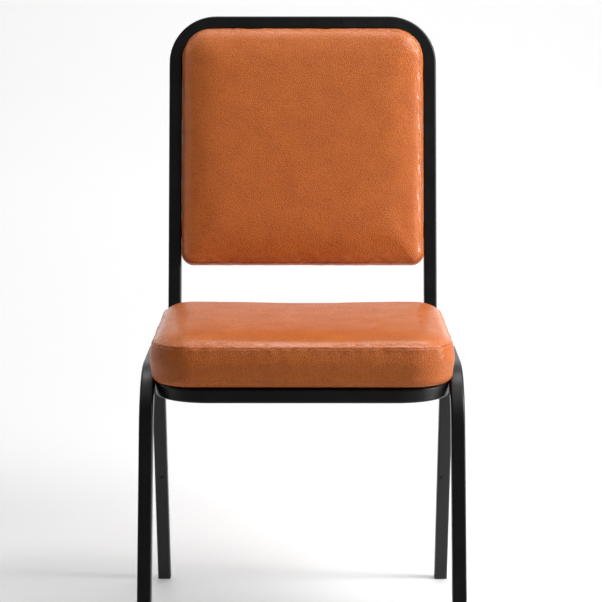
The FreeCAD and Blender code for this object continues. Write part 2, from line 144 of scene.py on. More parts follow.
# ---- settings ----------------------------------------------------------------------------

def length(name, description, default, low=0.0, high=10.0):
    """A length in metres that a user can change."""
    return FloatProperty(name=name, description=description, default=default, min=low, max=high,
                         subtype="DISTANCE", unit="LENGTH", precision=5)


def colour(name, description, default):
    """A linear colour that a user can change."""
    return FloatVectorProperty(name=name, description=description, default=default, size=3,
                               min=0.0, max=1.0, subtype="COLOR")


def watts(name, description, default):
    """The power of a light."""
    return FloatProperty(name=name, description=description, default=default, min=0.0, unit="POWER")


class CushionSettings(bpy.types.PropertyGroup):
    """Shape of the seat and back cushions."""
    spacing: length("Mesh spacing", "Distance between points round a cushion", 2.3 * MM)
    seam_depth: length("Seam depth", "How far the sewn seam pulls in", 0.7 * MM)
    seam_reach: length("Seam reach", "Width of the pulled-in line on each side of a seam", 1.0 * MM)
    pucker: length("Pucker", "Height of the small gathers beside a seam", 0.6 * MM)
    seat_lean: length("Seat band lean", "How far the seam lies inside the widest line of the band", 1.6 * MM)
    seat_lift: length("Seat edge lift", "How far the rolled edge stays above the cover's hem", 1.6 * MM)
    seat_bulge: length("Seat band bulge", "How far the seat's side band swells", 2.4 * MM)
    seat_crown: length("Seat crown", "Rise of the seat's top panel above its seam", 15.2 * MM)
    seat_dip: length("Seat dip", "How much lower the seat is in its middle", 2.2 * MM)
    seat_shoulder: length("Seat shoulder", "How fast the top panel rises from its seam", 14.0 * MM)
    back_crown: length("Back crown", "Rise of the back's front panel above its seam", 12.0 * MM)
    back_shoulder: length("Back shoulder", "How fast the front panel rises from its seam", 15.0 * MM)
    back_seam_inset: length("Back seam inset", "Distance of the back's seam from its outline", 3.2 * MM)
    voxel: length("Voxel", "Cell size of the mesh that is inflated", 5.0 * MM)
    pressure: FloatProperty(name="Pressure", description="Inside pressure while inflating", default=4.0)
    puff_cap: length("Puff cap", "Furthest that inflating may move a point", 3.0 * MM)


class FinishSettings(bpy.types.PropertyGroup):
    """Colours of what the chair is made of."""
    leather: colour("Leather", "Upholstery colour", (0.662, 0.157, 0.0098))
    leather_dark: colour("Leather dark", "Colour in the grain and along seams", (0.36, 0.064, 0.005))
    thread: colour("Thread", "Sewing thread", (0.20, 0.05, 0.014))
    coating: colour("Powder coat", "Frame colour", (0.0045, 0.0045, 0.005))
    plastic: colour("Plastic", "Glides and bumpers", (0.010, 0.010, 0.010))
    grain: length("Grain", "Size of the leather's pebbles", 3.1 * MM)


class StudioSettings(bpy.types.PropertyGroup):
    """Camera and light."""
    lens: FloatProperty(name="Lens", description="Focal length on a 36 mm sensor",
                        default=130.07, unit="CAMERA")
    turn: FloatProperty(name="Turn", description="How far the camera turns to its left",
                        default=math.radians(0.166), subtype="ANGLE", unit="ROTATION")
    pitch: FloatProperty(name="Pitch", description="How far the camera looks down",
                         default=math.radians(8.86), subtype="ANGLE", unit="ROTATION")
    eye_height: length("Eye height", "Height of the camera above the floor", 0.971)
    eye_ahead: length("Eye distance", "Distance of the camera in front of the origin", 3.190)
    eye_aside: length("Eye aside", "How far the camera stands right of the chair's middle", 7.3 * MM)
    key: watts("Key light", "Power of the large light, right and above", 42.0)
    top: watts("Top light", "Power of the large light overhead", 6.0)
    rear: watts("Rear top light", "Power of the large light overhead, behind the chair", 19.0)
    left: watts("Left light", "Power of the weak light on the left", 5.0)
    right: watts("Right light", "Power of the upright light on the right", 36.0)
    sky: FloatProperty(name="Room light", description="Strength of the even white light", default=0.1)
    glow: FloatProperty(name="Floor glow", description="Light given off by the floor itself", default=0.12)
    wall: FloatProperty(name="Backdrop glow", description="Light given off by the backdrop itself",
                        default=0.29)


# ---- small helpers -----------------------------------------------------------------------

def settings(name):
    """One of the chair's groups of settings: cushions, finish or studio."""
    return getattr(bpy.context.scene, "chair_" + name)


def link_object(name, data):
    """A new object in the scene."""
    made = bpy.data.objects.new(name, data)
    bpy.context.scene.collection.objects.link(made)
    return made


def mesh_object(name, points, faces):
    """A new mesh object with smooth shading."""
    mesh = bpy.data.meshes.new(name)
    mesh.from_pydata([tuple(p) for p in points], [], faces)
    mesh.update()
    mesh.shade_smooth()
    return link_object(name, mesh)


def coordinates(mesh):
    """A mesh's points, as rows of X, Y and Z."""
    flat = np.empty(len(mesh.vertices) * 3, dtype=np.float32)
    mesh.vertices.foreach_get("co", flat)
    return flat.reshape(-1, 3).astype(float)


def set_coordinates(mesh, points):
    """Put a mesh's points in new places."""
    mesh.vertices.foreach_set("co", np.asarray(points, dtype=np.float32).ravel())
    mesh.update()


def normals(mesh):
    """The direction out of a mesh at each of its points."""
    flat = np.empty(len(mesh.vertices) * 3, dtype=np.float32)
    mesh.vertices.foreach_get("normal", flat)
    return flat.reshape(-1, 3).astype(float)


def add_attribute(obj, name, values):
    """Keep one value per point, for a material to read."""
    layer = obj.data.attributes.new(name, "FLOAT", "POINT")
    layer.data.foreach_set("value", np.asarray(values, dtype=np.float32))


def finish_piece(obj, material=None):
    """Let a finished piece ride on the chair; a material given becomes its only material slot."""
    if material is not None:
        obj.data.materials.clear()
        obj.data.materials.append(material)
    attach(obj, BODY)


def paint_nodes(names, material):
    """Give nodes of the frame one material."""
    for name in names:
        slots = NODES[name].material_slots
        if not slots:
            NODES[name].data.materials.append(material)
        for slot in slots:
            slot.material = material


# ---- node trees and materials ------------------------------------------------------------

class Nodes:
    """Builds a node tree: a material's, the world's or a group's."""

    def __init__(self, tree):
        self.tree = tree

    def add(self, kind, *inputs, **options):
        """A node; each input is (socket name or number, value or another node's output)."""
        node = self.tree.nodes.new(kind)
        for key, value in options.items():
            setattr(node, key, value)
        for socket, value in inputs:
            if isinstance(value, bpy.types.NodeSocket):
                self.tree.links.new(value, node.inputs[socket])
            else:
                node.inputs[socket].default_value = value
        return node

    def math(self, operation, a, b=0.0, clamp=False):
        """One sum on numbers."""
        return self.add("ShaderNodeMath", (0, a), (1, b), operation=operation, use_clamp=clamp).outputs[0]

    def vector_math(self, operation, a, b):
        """One sum on vectors."""
        return self.add("ShaderNodeVectorMath", (0, a), (1, b), operation=operation).outputs[0]

    def mix(self, factor, a, b):
        """Colour a turning into colour b."""
        return self.add("ShaderNodeMix", (0, factor), (6, a), (7, b), data_type="RGBA").outputs[2]

    def ramp(self, value, low, high, to_low=0.0, to_high=1.0):
        """A value's place between low and high, held there and carried over to another range."""
        limits = (1, low), (2, high), (3, to_low), (4, to_high)
        return self.add("ShaderNodeMapRange", (0, value), *limits).outputs[0]

    def noise(self, where, scale, detail, *more):
        """Cloudy noise."""
        return self.add("ShaderNodeTexNoise", ("Vector", where), ("Scale", scale), ("Detail", detail), *more)

    def cell_edges(self, where, scale):
        """Distance to the nearest edge between cells."""
        cells = self.add("ShaderNodeTexVoronoi", ("Vector", where), ("Scale", scale),
                         feature="DISTANCE_TO_EDGE")
        return cells.outputs["Distance"]


def new_group(name, inputs, outputs):
    """An empty shared shader group with named sockets, and its input and output nodes."""
    tree = bpy.data.node_groups.new(name, "ShaderNodeTree")
    for label, kind, default in inputs:
        socket = tree.interface.new_socket(label, in_out="INPUT", socket_type=kind)
        if default is not None:
            socket.default_value = default
    for label, kind in outputs:
        tree.interface.new_socket(label, in_out="OUTPUT", socket_type=kind)
    shader = Nodes(tree)
    return shader, shader.add("NodeGroupInput"), shader.add("NodeGroupOutput")


def shared_group(name, build):
    """The group of this name, built if it isn't there yet."""
    return bpy.data.node_groups.get(name) or build(name)


def pebble_grain(name):
    """Leatherette emboss: rounded pebbles of two sizes with creases between them."""
    shader, given, put = new_group(
        name, [("Coordinates", "NodeSocketVector", None), ("Size", "NodeSocketFloat", 0.002)],
        [("Height", "NodeSocketFloat"), ("Crease", "NodeSocketFloat"), ("Mottle", "NodeSocketFloat")])
    place = given.outputs["Coordinates"]
    per_metre = shader.math("DIVIDE", 1.0, given.outputs["Size"])
    bend = shader.noise(place, 260.0, 2.0)
    offset = shader.vector_math("SUBTRACT", bend.outputs["Color"], (0.5, 0.5, 0.5))
    bent = shader.vector_math("MULTIPLY", offset, (0.0014, 0.0014, 0.0014))
    where = shader.vector_math("ADD", place, bent)
    hill = shader.ramp(shader.cell_edges(where, per_metre), 0.0, 0.22)
    small_hill = shader.ramp(shader.cell_edges(where, shader.math("MULTIPLY", per_metre, 2.3)), 0.0, 0.25)
    height = shader.math("ADD", hill, shader.math("MULTIPLY", small_hill, 0.35))
    mottle = shader.noise(place, 26.0, 5.0, ("Roughness", 0.6))
    shader.tree.links.new(height, put.inputs["Height"])
    shader.tree.links.new(shader.math("SUBTRACT", 1.0, hill), put.inputs["Crease"])
    shader.tree.links.new(mottle.outputs["Fac"], put.inputs["Mottle"])
    return shader.tree


def surface_wear(name):
    """Fine orange peel, soft blotches of sheen and a little settled dust."""
    shader, given, put = new_group(
        name, [("Coordinates", "NodeSocketVector", None), ("Scale", "NodeSocketFloat", 600.0)],
        [("Height", "NodeSocketFloat"), ("Blotch", "NodeSocketFloat"), ("Dust", "NodeSocketFloat")])
    place = given.outputs["Coordinates"]
    peel = shader.noise(place, given.outputs["Scale"], 2.0, ("Roughness", 0.5))
    blotch = shader.noise(place, 34.0, 4.0)
    facing = shader.add("ShaderNodeSeparateXYZ", (0, shader.add("ShaderNodeNewGeometry").outputs["Normal"]))
    upward = shader.ramp(facing.outputs["Z"], 0.55, 1.0)
    speck = shader.noise(place, 900.0, 3.0)
    dust = shader.math("MULTIPLY", upward, shader.ramp(speck.outputs["Fac"], 0.5, 0.75))
    shader.tree.links.new(peel.outputs["Fac"], put.inputs["Height"])
    shader.tree.links.new(shader.ramp(blotch.outputs["Fac"], 0.3, 0.7), put.inputs["Blotch"])
    shader.tree.links.new(dust, put.inputs["Dust"])
    return shader.tree


def new_material(name, **constants):
    """A material with its Principled shader; constants go straight on the shader's own sockets."""
    material = bpy.data.materials.new(name)
    material.use_nodes = True
    shader = Nodes(material.node_tree)
    surface = material.node_tree.nodes["Principled BSDF"]
    for socket, value in constants.items():
        surface.inputs[socket.replace("_", " ")].default_value = value
    place = shader.add("ShaderNodeTexCoord").outputs["Object"]
    return material, shader, surface, place


def feed(shader, surface, **links):
    """Link outputs to the Principled shader's sockets."""
    for socket, value in links.items():
        shader.tree.links.new(value, surface.inputs[socket.replace("_", " ")])


def bump(shader, surface, height, strength, distance):
    """Relief on a surface, `distance` metres deep."""
    node = shader.add("ShaderNodeBump", ("Height", height), ("Strength", strength), ("Distance", distance))
    shader.tree.links.new(node.outputs["Normal"], surface.inputs["Normal"])


def opaque(rgb):
    """A colour with its alpha."""
    return (*rgb, 1.0)


def leather_material():
    """Cognac leatherette: embossed pebbles, darker creases and seams, and along the edges a paler, glossier
    band that is partly polish from wear and partly painted highlight.
    """
    name = "cognac leatherette"
    if name in bpy.data.materials:
        return bpy.data.materials[name]
    look = settings("finish")
    material, shader, surface, place = new_material(name, Specular_IOR_Level=0.36)
    grain = shader.add("ShaderNodeGroup", node_tree=shared_group("pebble grain", pebble_grain))
    shader.tree.links.new(place, grain.inputs["Coordinates"])
    grain.inputs["Size"].default_value = look.grain
    seam = shader.add("ShaderNodeAttribute", attribute_name="seam").outputs["Fac"]
    worn = shader.add("ShaderNodeAttribute", attribute_name="worn").outputs["Fac"]
    mottled = shader.ramp(grain.outputs["Mottle"], 0.30, 0.72, 0.0, 0.30)
    shade = shader.math("ADD", mottled, shader.math("MULTIPLY", grain.outputs["Crease"], 0.42))
    shade = shader.math("ADD", shade, shader.math("MULTIPLY", seam, 0.30), clamp=True)
    base = shader.mix(shade, opaque(look.leather), opaque(look.leather_dark))
    # The paler colour along the edges is a painted highlight standing in for reflections of the lights, and
    # partly wear; the lower roughness and extra coat there are the real polish.
    paler_wear_and_highlight = tuple(min(1.0, c * 1.08 + 0.09) for c in look.leather)
    base = shader.mix(shader.math("MULTIPLY", worn, 0.55), base, opaque(paler_wear_and_highlight))
    rough = shader.math("ADD", 0.34, shader.math("MULTIPLY", grain.outputs["Crease"], 0.16))
    rough = shader.math("ADD", rough, shader.ramp(grain.outputs["Mottle"], 0.3, 0.7, -0.03, 0.05))
    rough = shader.math("SUBTRACT", rough, shader.math("MULTIPLY", worn, 0.12), clamp=True)
    gloss = shader.math("ADD", 0.12, shader.math("MULTIPLY", worn, 0.55), clamp=True)
    feed(shader, surface, Base_Color=base, Roughness=rough, Coat_Weight=gloss)
    surface.inputs["Coat Roughness"].default_value = 0.17
    bump(shader, surface, grain.outputs["Height"], 0.85, 0.00052)
    return material


def worn_material(name, rgb, roughness, peel_scale, peel_depth, dust=0.25, **constants):
    """Painted, plated or moulded surface with fine texture, uneven sheen and a little dust."""
    if name in bpy.data.materials:
        return bpy.data.materials[name]
    material, shader, surface, place = new_material(name, **constants)
    wear = shader.add("ShaderNodeGroup", node_tree=shared_group("surface wear", surface_wear))
    shader.tree.links.new(place, wear.inputs["Coordinates"])
    wear.inputs["Scale"].default_value = peel_scale
    pale = tuple(min(1.0, c + 0.10) for c in rgb)
    base = shader.mix(shader.math("MULTIPLY", wear.outputs["Dust"], dust), opaque(rgb), opaque(pale))
    rough = shader.ramp(wear.outputs["Blotch"], 0.0, 1.0, roughness - 0.04, roughness + 0.05)
    feed(shader, surface, Base_Color=base, Roughness=rough)
    bump(shader, surface, wear.outputs["Height"], 0.25, peel_depth)
    return material


def steel_material():
    """Zinc-plated steel."""
    return worn_material("zinc plate", (0.55, 0.55, 0.56), 0.38, 900.0, 0.00005, Metallic=1.0)


def coating_material():
    """The frame's black powder coat."""
    return worn_material("black powder coat", settings("finish").coating, 0.34, 1100.0, 0.00010, dust=0.04,
                         Specular_IOR_Level=0.42)


def plywood_material():
    """Birch plywood: streaked faces, and the plies' lines on the edges."""
    name = "plywood"
    if name in bpy.data.materials:
        return bpy.data.materials[name]
    material, shader, surface, place = new_material(name, Roughness=0.72)
    stretched = shader.add("ShaderNodeMapping", ("Vector", place), ("Scale", (9.0, 160.0, 640.0)))
    streak = shader.noise(stretched.outputs[0], 1.0, 6.0).outputs["Fac"]
    pale, brown = (0.50, 0.33, 0.18, 1.0), (0.33, 0.19, 0.09, 1.0)
    feed(shader, surface, Base_Color=shader.mix(shader.ramp(streak, 0.3, 0.7), pale, brown))
    bump(shader, surface, streak, 0.3, 0.0002)
    return material


def dust_cloth_material():
    """Black non-woven cloth with its grid of pressed dots."""
    name = "black non-woven cloth"
    if name in bpy.data.materials:
        return bpy.data.materials[name]
    material, shader, surface, place = new_material(name, Roughness=0.9, Specular_IOR_Level=0.2)
    dots = shader.add("ShaderNodeTexVoronoi", ("Vector", place), ("Scale", 420.0), ("Randomness", 0.12))
    fibre = shader.noise(place, 1500.0, 4.0)
    pressed = shader.ramp(dots.outputs["Distance"], 0.15, 0.45)
    tone = shader.math("MULTIPLY", pressed, fibre.outputs["Fac"])
    base = shader.mix(tone, (0.008, 0.008, 0.009, 1.0), (0.034, 0.034, 0.036, 1.0))
    feed(shader, surface, Base_Color=base)
    bump(shader, surface, pressed, 0.6, 0.0002)
    return material


def thread_material():
    """Twisted sewing thread."""
    name = "sewing thread"
    if name in bpy.data.materials:
        return bpy.data.materials[name]
    material, shader, surface, place = new_material(name, Roughness=0.6)
    twist = shader.noise(place, 2600.0, 1.0).outputs["Fac"]
    rgb = settings("finish").thread
    pale = [min(1.0, c * 2.2) for c in rgb]
    feed(shader, surface, Base_Color=shader.mix(twist, opaque(rgb), opaque(pale)))
    bump(shader, surface, twist, 0.5, 0.0002)
    return material


# ---- cushions ----------------------------------------------------------------------------

class Outline:
    """A rounded rectangle seen square on, and rings of points at any distance inside it."""

    def __init__(self, half, low, high, low_corner, high_corner, spacing):
        self.half, self.low, self.high = half, low, high
        self.low_corner, self.high_corner = low_corner, high_corner
        side = high - low - low_corner - high_corner
        low_arc = low_corner * math.pi / 2
        high_arc = high_corner * math.pi / 2
        lengths = (side, high_arc, 2 * (half - high_corner), high_arc,
                   side, low_arc, 2 * (half - low_corner), low_arc)
        self.counts = [max(4, round(run / spacing)) for run in lengths]
        self.counts[0] += -sum(self.counts) % 8
        self.size = sum(self.counts)

    def middle(self):
        """The middle of the outline's box."""
        return np.array([0.0, (self.low + self.high) / 2])

    def ring(self, inset):
        """Points of the outline `inset` further in, anticlockwise from the lower right."""
        half, low, high = self.half - inset, self.low + inset, self.high - inset
        low_r = max(self.low_corner - inset, TIGHTEST_CORNER)
        high_r = max(self.high_corner - inset, TIGHTEST_CORNER)
        corners = ((half - high_r, high - high_r, high_r, 0), (high_r - half, high - high_r, high_r, 90),
                   (low_r - half, low + low_r, low_r, 180), (half - low_r, low + low_r, low_r, 270))
        points = []
        for i, corner in enumerate(corners):
            start = corner[3]
            along, round_corner = self.counts[2 * i:2 * i + 2]
            come = self.on_arc(corners[i - 1], corners[i - 1][3] + 90)
            meet = self.on_arc(corner, start)
            points.extend(come + (meet - come) * k / along for k in range(along))
            points.extend(self.on_arc(corner, start + 90 * k / round_corner) for k in range(round_corner))
        return np.array(points)

    @staticmethod
    def on_arc(corner, degrees):
        """A point on one corner's arc."""
        x, y, r, _ = corner
        turn = math.radians(degrees)
        return np.array([x + r * math.cos(turn), y + r * math.sin(turn)])


def close_with_rings(rings, faces, size, middle):
    """Carry the last ring in to its middle, halving its points now and then, and close the pole."""
    outline, height = rings[-1][:, :2], rings[-1][0, 2]
    total = sum(len(r) for r in rings)
    previous, count = total - size, size
    for i, scale in enumerate(FACE_SCALES):
        halve = i in HALVING_RINGS and count % 2 == 0
        step = size // count * (2 if halve else 1)
        flat = middle + (outline[::step] - middle) * scale
        rings.append(np.column_stack([flat, np.full(len(flat), height)]))
        faces.extend(stitch_rings(previous, count, total, len(flat)))
        previous, count = total, len(flat)
        total += count
    rings.append(np.array([[*middle, height]]))
    faces.extend((previous + k, previous + (k + 1) % count, total) for k in range(count))


def stitch_rings(a, count_a, b, count_b):
    """Faces between two rings, where the second has as many points or half as many."""
    faces = []
    if count_a == count_b:
        for k in range(count_a):
            n = (k + 1) % count_a
            faces.append((a + k, a + n, b + n, b + k))
        return faces
    for k in range(count_b):
        n = (k + 1) % count_b
        faces.append((a + 2 * k, a + 2 * k + 1, b + k))
        faces.append((a + 2 * k + 1, a + (2 * k + 2) % count_a, b + n, b + k))
    return faces


class Cushion:
    """A boxed cushion as rings of points: up the side band to the seam, then in over the face."""

    def __init__(self, outline, face, band):
        """face and band are lists of (inset, height) that both start at the seam."""
        rows = list(reversed(band)) + face[1:]
        size = outline.size
        rings = [np.column_stack([outline.ring(inset), np.full(size, height)]) for inset, height in rows]
        self.faces = []
        for start in range(size, len(rows) * size, size):
            self.faces.extend(stitch_rings(start - size, size, start, size))
        close_with_rings(rings, self.faces, size, outline.middle())
        underside = tuple(reversed(range(size)))
        self.faces.append(underside)
        self.points = np.vstack(rings)
        self.seam = np.arange((len(band) - 1) * size, len(band) * size)
        # Distance from the seam along the section: below zero on the band, and for all of the
        # closing rings 10 mm past the last whole ring.
        travelled = np.concatenate([[0], np.cumsum(np.hypot(*np.diff(np.array(rows), axis=0).T))])
        travelled -= travelled[len(band) - 1]
        self.from_seam = np.full(len(self.points), travelled[-1] + 10 * MM)
        self.from_seam[:len(rows) * size] = np.repeat(travelled, size)


def near_seam(reach, spread, end):
    """Distances from the seam, close together beside it and wider further off."""
    steps = [0.0]
    step = reach * 0.42
    while steps[-1] < end:
        steps.append(steps[-1] + step)
        if steps[-1] > reach * 2.2:
            step = min(step * 1.22, spread)
    return steps[:-1] + [end]


def domed_face(seam_inset, seam_height, crown, shoulder, end):
    """Section of a face panel: it leaves the seam steeply and is level by its end."""
    rows = []
    for d in near_seam(settings("cushions").seam_reach, 4.5 * MM, end):
        share = d / end
        below = math.exp(-d / shoulder) * (1 - share) ** 2 * (1 + 2 * share)
        rows.append((seam_inset + d, seam_height + crown * (1 - below)))
    return rows


def rolled_hem(bottom, lift, roll, steps, turned):
    """Section of a band's rolled edge and of the cover turned under it, `lift` lower at its hem."""
    start = bottom + lift + roll
    rows = []
    for k in range(1, steps + 1):
        turn = math.radians(90 / steps * k)
        rows.append((roll - roll * math.cos(turn), start - roll * math.sin(turn)))
    for k in range(1, 6):
        rows.append((roll + (turned - roll) * k / 5, bottom + lift * (1 - k / 5)))
    rows.append((turned + 1 * MM, bottom + 0.9 * MM))
    return rows


def seat_band(seam_height, bottom, roll, turned):
    """Section of the seat's side: a leaning, gently swelling band, a rolled edge, a turned-under rim."""
    look = settings("cushions")
    depth = seam_height - (bottom + look.seat_lift + roll)
    rows = []
    for d in near_seam(look.seam_reach, 2.4 * MM, depth):
        swell = look.seat_bulge * math.sin(math.pi * (d / depth)) ** 2
        rows.append((look.seat_lean * math.exp(-d / (6 * MM)) - swell, seam_height - d))
    return rows + rolled_hem(bottom, look.seat_lift, roll, 10, turned)


def back_band(seam_height, rear, roll, turned):
    """Section of the back's side: from the seam out to the full outline, then round to the rear."""
    look = settings("cushions")
    depth = seam_height - rear - roll
    rows = []
    for d in near_seam(look.seam_reach, 1.8 * MM, depth):
        share = min(1.0, d / (0.62 * depth))
        inset = look.back_seam_inset * (1 - math.sin(share * math.pi / 2) ** 0.9)
        rows.append((inset, seam_height - d))
    return rows + rolled_hem(rear, 0.0, roll, 6, turned)


def waves(points, scale, seed):
    """Smooth repeatable noise from a few sine waves in fixed, seeded directions."""
    random = np.random.default_rng(seed)
    total = np.zeros(len(points))
    for _ in range(9):
        direction = random.normal(size=3)
        direction *= 2 * math.pi / (scale * random.uniform(0.6, 1.7) * np.linalg.norm(direction))
        total += np.sin(points @ direction + random.uniform(0, 2 * math.pi))
    return total / 3.0


def smoothed(mesh, values, rounds):
    """Values on a mesh's points, averaged with their neighbours' a number of times."""
    ends = np.empty(len(mesh.edges) * 2, dtype=np.int32)
    mesh.edges.foreach_get("vertices", ends)
    first, second = ends.reshape(-1, 2).T
    count = np.bincount(ends, minlength=len(values))[:, None]
    for _ in range(rounds):
        total = np.zeros_like(values)
        np.add.at(total, first, values[second])
        np.add.at(total, second, values[first])
        values = 0.5 * values + 0.5 * total / np.maximum(count, 1)
    return values


def inflate(obj, pinned):
    """Blow up a coarse copy of the cushion as cloth, and return how far each of its points goes."""
    look = settings("cushions")
    scene = bpy.context.scene
    copy = link_object("inflating", obj.data.copy())
    remesh = copy.modifiers.new("Remesh", "REMESH")
    remesh.mode = "VOXEL"
    remesh.voxel_size = look.voxel
    bpy.context.view_layer.update()
    evaluated = copy.evaluated_get(bpy.context.evaluated_depsgraph_get())
    coarse = link_object("inflating_cloth", bpy.data.meshes.new_from_object(evaluated))
    bpy.data.objects.remove(copy)
    before = coordinates(coarse.data)
    hold = coarse.vertex_groups.new(name="hold")
    for i, weight in enumerate(pinned(before)):
        if weight > 0.01:
            hold.add([i], float(weight), "REPLACE")
    cloth = coarse.modifiers.new("Cloth", "CLOTH")
    for key, value in CLOTH.items():
        setattr(cloth.settings, key, value)
    cloth.settings.uniform_pressure_force = look.pressure
    cloth.settings.effector_weights.gravity = 0.0
    cloth.point_cache.frame_start = 1
    cloth.point_cache.frame_end = CLOTH_FRAMES
    for step in range(1, CLOTH_FRAMES + 1):
        scene.frame_set(step)
        evaluated = coarse.evaluated_get(bpy.context.evaluated_depsgraph_get())
        after = coordinates(evaluated.data)
    moved = after - before
    far = np.linalg.norm(moved, axis=1)
    print("inflated %d points, furthest %.1f mm, mean %.1f mm"
          % (len(before), far.max() / MM, far.mean() / MM))
    moved = smoothed(coarse.data, moved, CLOTH_SMOOTHING)
    far = np.linalg.norm(moved, axis=1)
    moved *= (look.puff_cap / (look.puff_cap + far))[:, None]
    tree = KDTree(len(before))
    for i, point in enumerate(before):
        tree.insert(point, i)
    tree.balance()
    carried = np.zeros((len(obj.data.vertices), 3))
    for i, vertex in enumerate(obj.data.vertices):
        found = tree.find_n(vertex.co, CLOTH_NEAREST)
        weights = np.array([1.0 / (distance + 0.0008) for _, _, distance in found])
        carried[i] = weights @ moved[[index for _, index, _ in found]] / weights.sum()
    bpy.data.objects.remove(coarse)
    scene.frame_set(1)
    return carried


def bell(x):
    """A smooth hump: 1 at zero, almost nothing by 2."""
    return np.exp(-x ** 2)


def sew(obj, from_seam):
    """Pull the seam in, gather the leather beside it, and record where the seams are and the edge band of
    wear and painted highlight.
    """
    look = settings("cushions")
    points = coordinates(obj.data)
    outwards = normals(obj.data)
    distance = np.abs(from_seam)
    reach = look.seam_reach
    groove = look.seam_depth * bell(distance / reach)
    lip = 0.35 * look.seam_depth * bell((distance - 2.6 * reach) / (1.2 * reach))
    short_folds = look.pucker * waves(points, 9 * MM, 3) * np.exp(-distance / (7 * MM))
    long_folds = 0.55 * look.pucker * waves(points, 34 * MM, 5) * np.exp(-distance / (22 * MM))
    gather = short_folds * np.minimum(distance / (1.5 * MM), 1) + long_folds
    points += outwards * (lip - groove + gather)[:, None]
    set_coordinates(obj.data, points)
    add_attribute(obj, "seam", bell(distance / (0.9 * reach)))
    # The edge band is partly wear and partly painted highlight: it fades out on edges that face down, where
    # the light from above doesn't fall.
    edge = bell((from_seam - 7 * MM) / (7 * MM)) * (0.85 + 0.15 * waves(points, 60 * MM, 11))
    upward = np.clip(0.7 + 2 * normals(obj.data)[:, 2], 0, 1)
    add_attribute(obj, "worn", np.clip(edge * upward, 0, 1))


def back_box(node):
    """Lowest and highest corners of a CAD node along the back's own axes."""
    turned = coordinates(NODES[node].data) @ BACK_TURN
    return turned.min(axis=0), turned.max(axis=0)


def build_cushion(name, cushion, turn, pinned):
    """Turn a cushion's rings into a mesh in its place, and inflate its face, which the rest holds."""
    points = cushion.points @ turn.T
    obj = mesh_object(name, points, cushion.faces)
    out = inflate(obj, pinned) @ turn[:, 2]
    free = 1 - np.exp(-np.clip(cushion.from_seam, 0, None) / (18 * MM))
    set_coordinates(obj.data, points + np.outer(out * free, turn[:, 2]))
    return obj


def split_runs(points, keep):
    """The stretches of a closed ring of points that are to be kept."""
    runs, run = [], []
    first = keep.index(False) if False in keep else 0
    for i in range(len(points)):
        k = (first + i) % len(points)
        if keep[k]:
            run.append(points[k])
        elif run:
            runs.append(np.array(run))
            run = []
    if run:
        runs.append(np.array(run))
    return [r for r in runs if len(r) > 1]


def stitch_line(name, runs, closed=True):
    """A curve of straight pieces through each run of points, for things set along it."""
    curve = bpy.data.curves.new(name, "CURVE")
    curve.dimensions = "3D"
    for points in runs:
        spline = curve.splines.new("POLY")
        spline.points.add(len(points) - 1)
        flat = np.column_stack([points, np.ones(len(points))]).astype(np.float32)
        spline.points.foreach_set("co", flat.ravel())
        spline.use_cyclic_u = closed
    return link_object(name, curve)


# ---- things along a line, by geometry nodes ----------------------------------------------

def beads_tree():
    """Ellipsoids set end to end along a curve: stitches, or the ripples of a weld."""
    name = "beads along a line"
    if name in bpy.data.node_groups:
        return bpy.data.node_groups[name]
    tree = bpy.data.node_groups.new(name, "GeometryNodeTree")
    face = tree.interface
    face.new_socket("Line", in_out="INPUT", socket_type="NodeSocketGeometry")
    sizes = {"Spacing": 0.004, "Length": 0.003, "Width": 0.001, "Height": 0.001, "Unevenness": 0.1}
    for label, default in sizes.items():
        face.new_socket(label, in_out="INPUT", socket_type="NodeSocketFloat").default_value = default
    face.new_socket("Seed", in_out="INPUT", socket_type="NodeSocketInt").default_value = 1
    face.new_socket("Material", in_out="INPUT", socket_type="NodeSocketMaterial")
    face.new_socket("Beads", in_out="OUTPUT", socket_type="NodeSocketGeometry")
    nodes = Nodes(tree)
    given = nodes.add("NodeGroupInput").outputs
    put = nodes.add("NodeGroupOutput")
    spots = nodes.add("GeometryNodeCurveToPoints", ("Curve", given["Line"]), ("Length", given["Spacing"]),
                      mode="LENGTH").outputs
    ball = nodes.add("GeometryNodeMeshUVSphere", ("Segments", 8), ("Rings", 5), ("Radius", 0.5))
    size = nodes.add("ShaderNodeCombineXYZ", ("X", given["Width"]), ("Y", given["Height"]),
                     ("Z", given["Length"]))
    low = nodes.math("SUBTRACT", 1.0, given["Unevenness"])
    high = nodes.math("ADD", 1.0, given["Unevenness"])
    uneven = nodes.add("FunctionNodeRandomValue", (2, low), (3, high), ("Seed", given["Seed"]),
                       data_type="FLOAT")
    scaled = nodes.add("ShaderNodeVectorMath", (0, size.outputs[0]), ("Scale", uneven.outputs[1]),
                       operation="SCALE")
    place = nodes.add("GeometryNodeInstanceOnPoints", ("Points", spots["Points"]),
                      ("Instance", ball.outputs["Mesh"]), ("Rotation", spots["Rotation"]),
                      ("Scale", scaled.outputs[0]))
    real = nodes.add("GeometryNodeRealizeInstances", (0, place.outputs[0]))
    smooth = nodes.add("GeometryNodeSetShadeSmooth", (0, real.outputs[0]))
    paint = nodes.add("GeometryNodeSetMaterial", ("Geometry", smooth.outputs[0]),
                      ("Material", given["Material"]))
    tree.links.new(paint.outputs[0], put.inputs[0])
    return tree


def beads_along(name, line, material, slot, **sizes):
    """Set beads along a curve object, turn them into a plain mesh and drop the curve."""
    tree = beads_tree()
    given = {"Material": material, **sizes}
    modifier = line.modifiers.new("Beads", "NODES")
    modifier.node_group = tree
    for item in tree.interface.items_tree:
        if item.in_out == "INPUT" and item.name in given:
            modifier[item.identifier] = given[item.name]
    bpy.context.view_layer.update()
    evaluated = line.evaluated_get(bpy.context.evaluated_depsgraph_get())
    made = link_object(name, bpy.data.meshes.new_from_object(evaluated))
    bpy.data.objects.remove(line)
    finish_piece(made)


# ---- operators ---------------------------------------------------------------------------

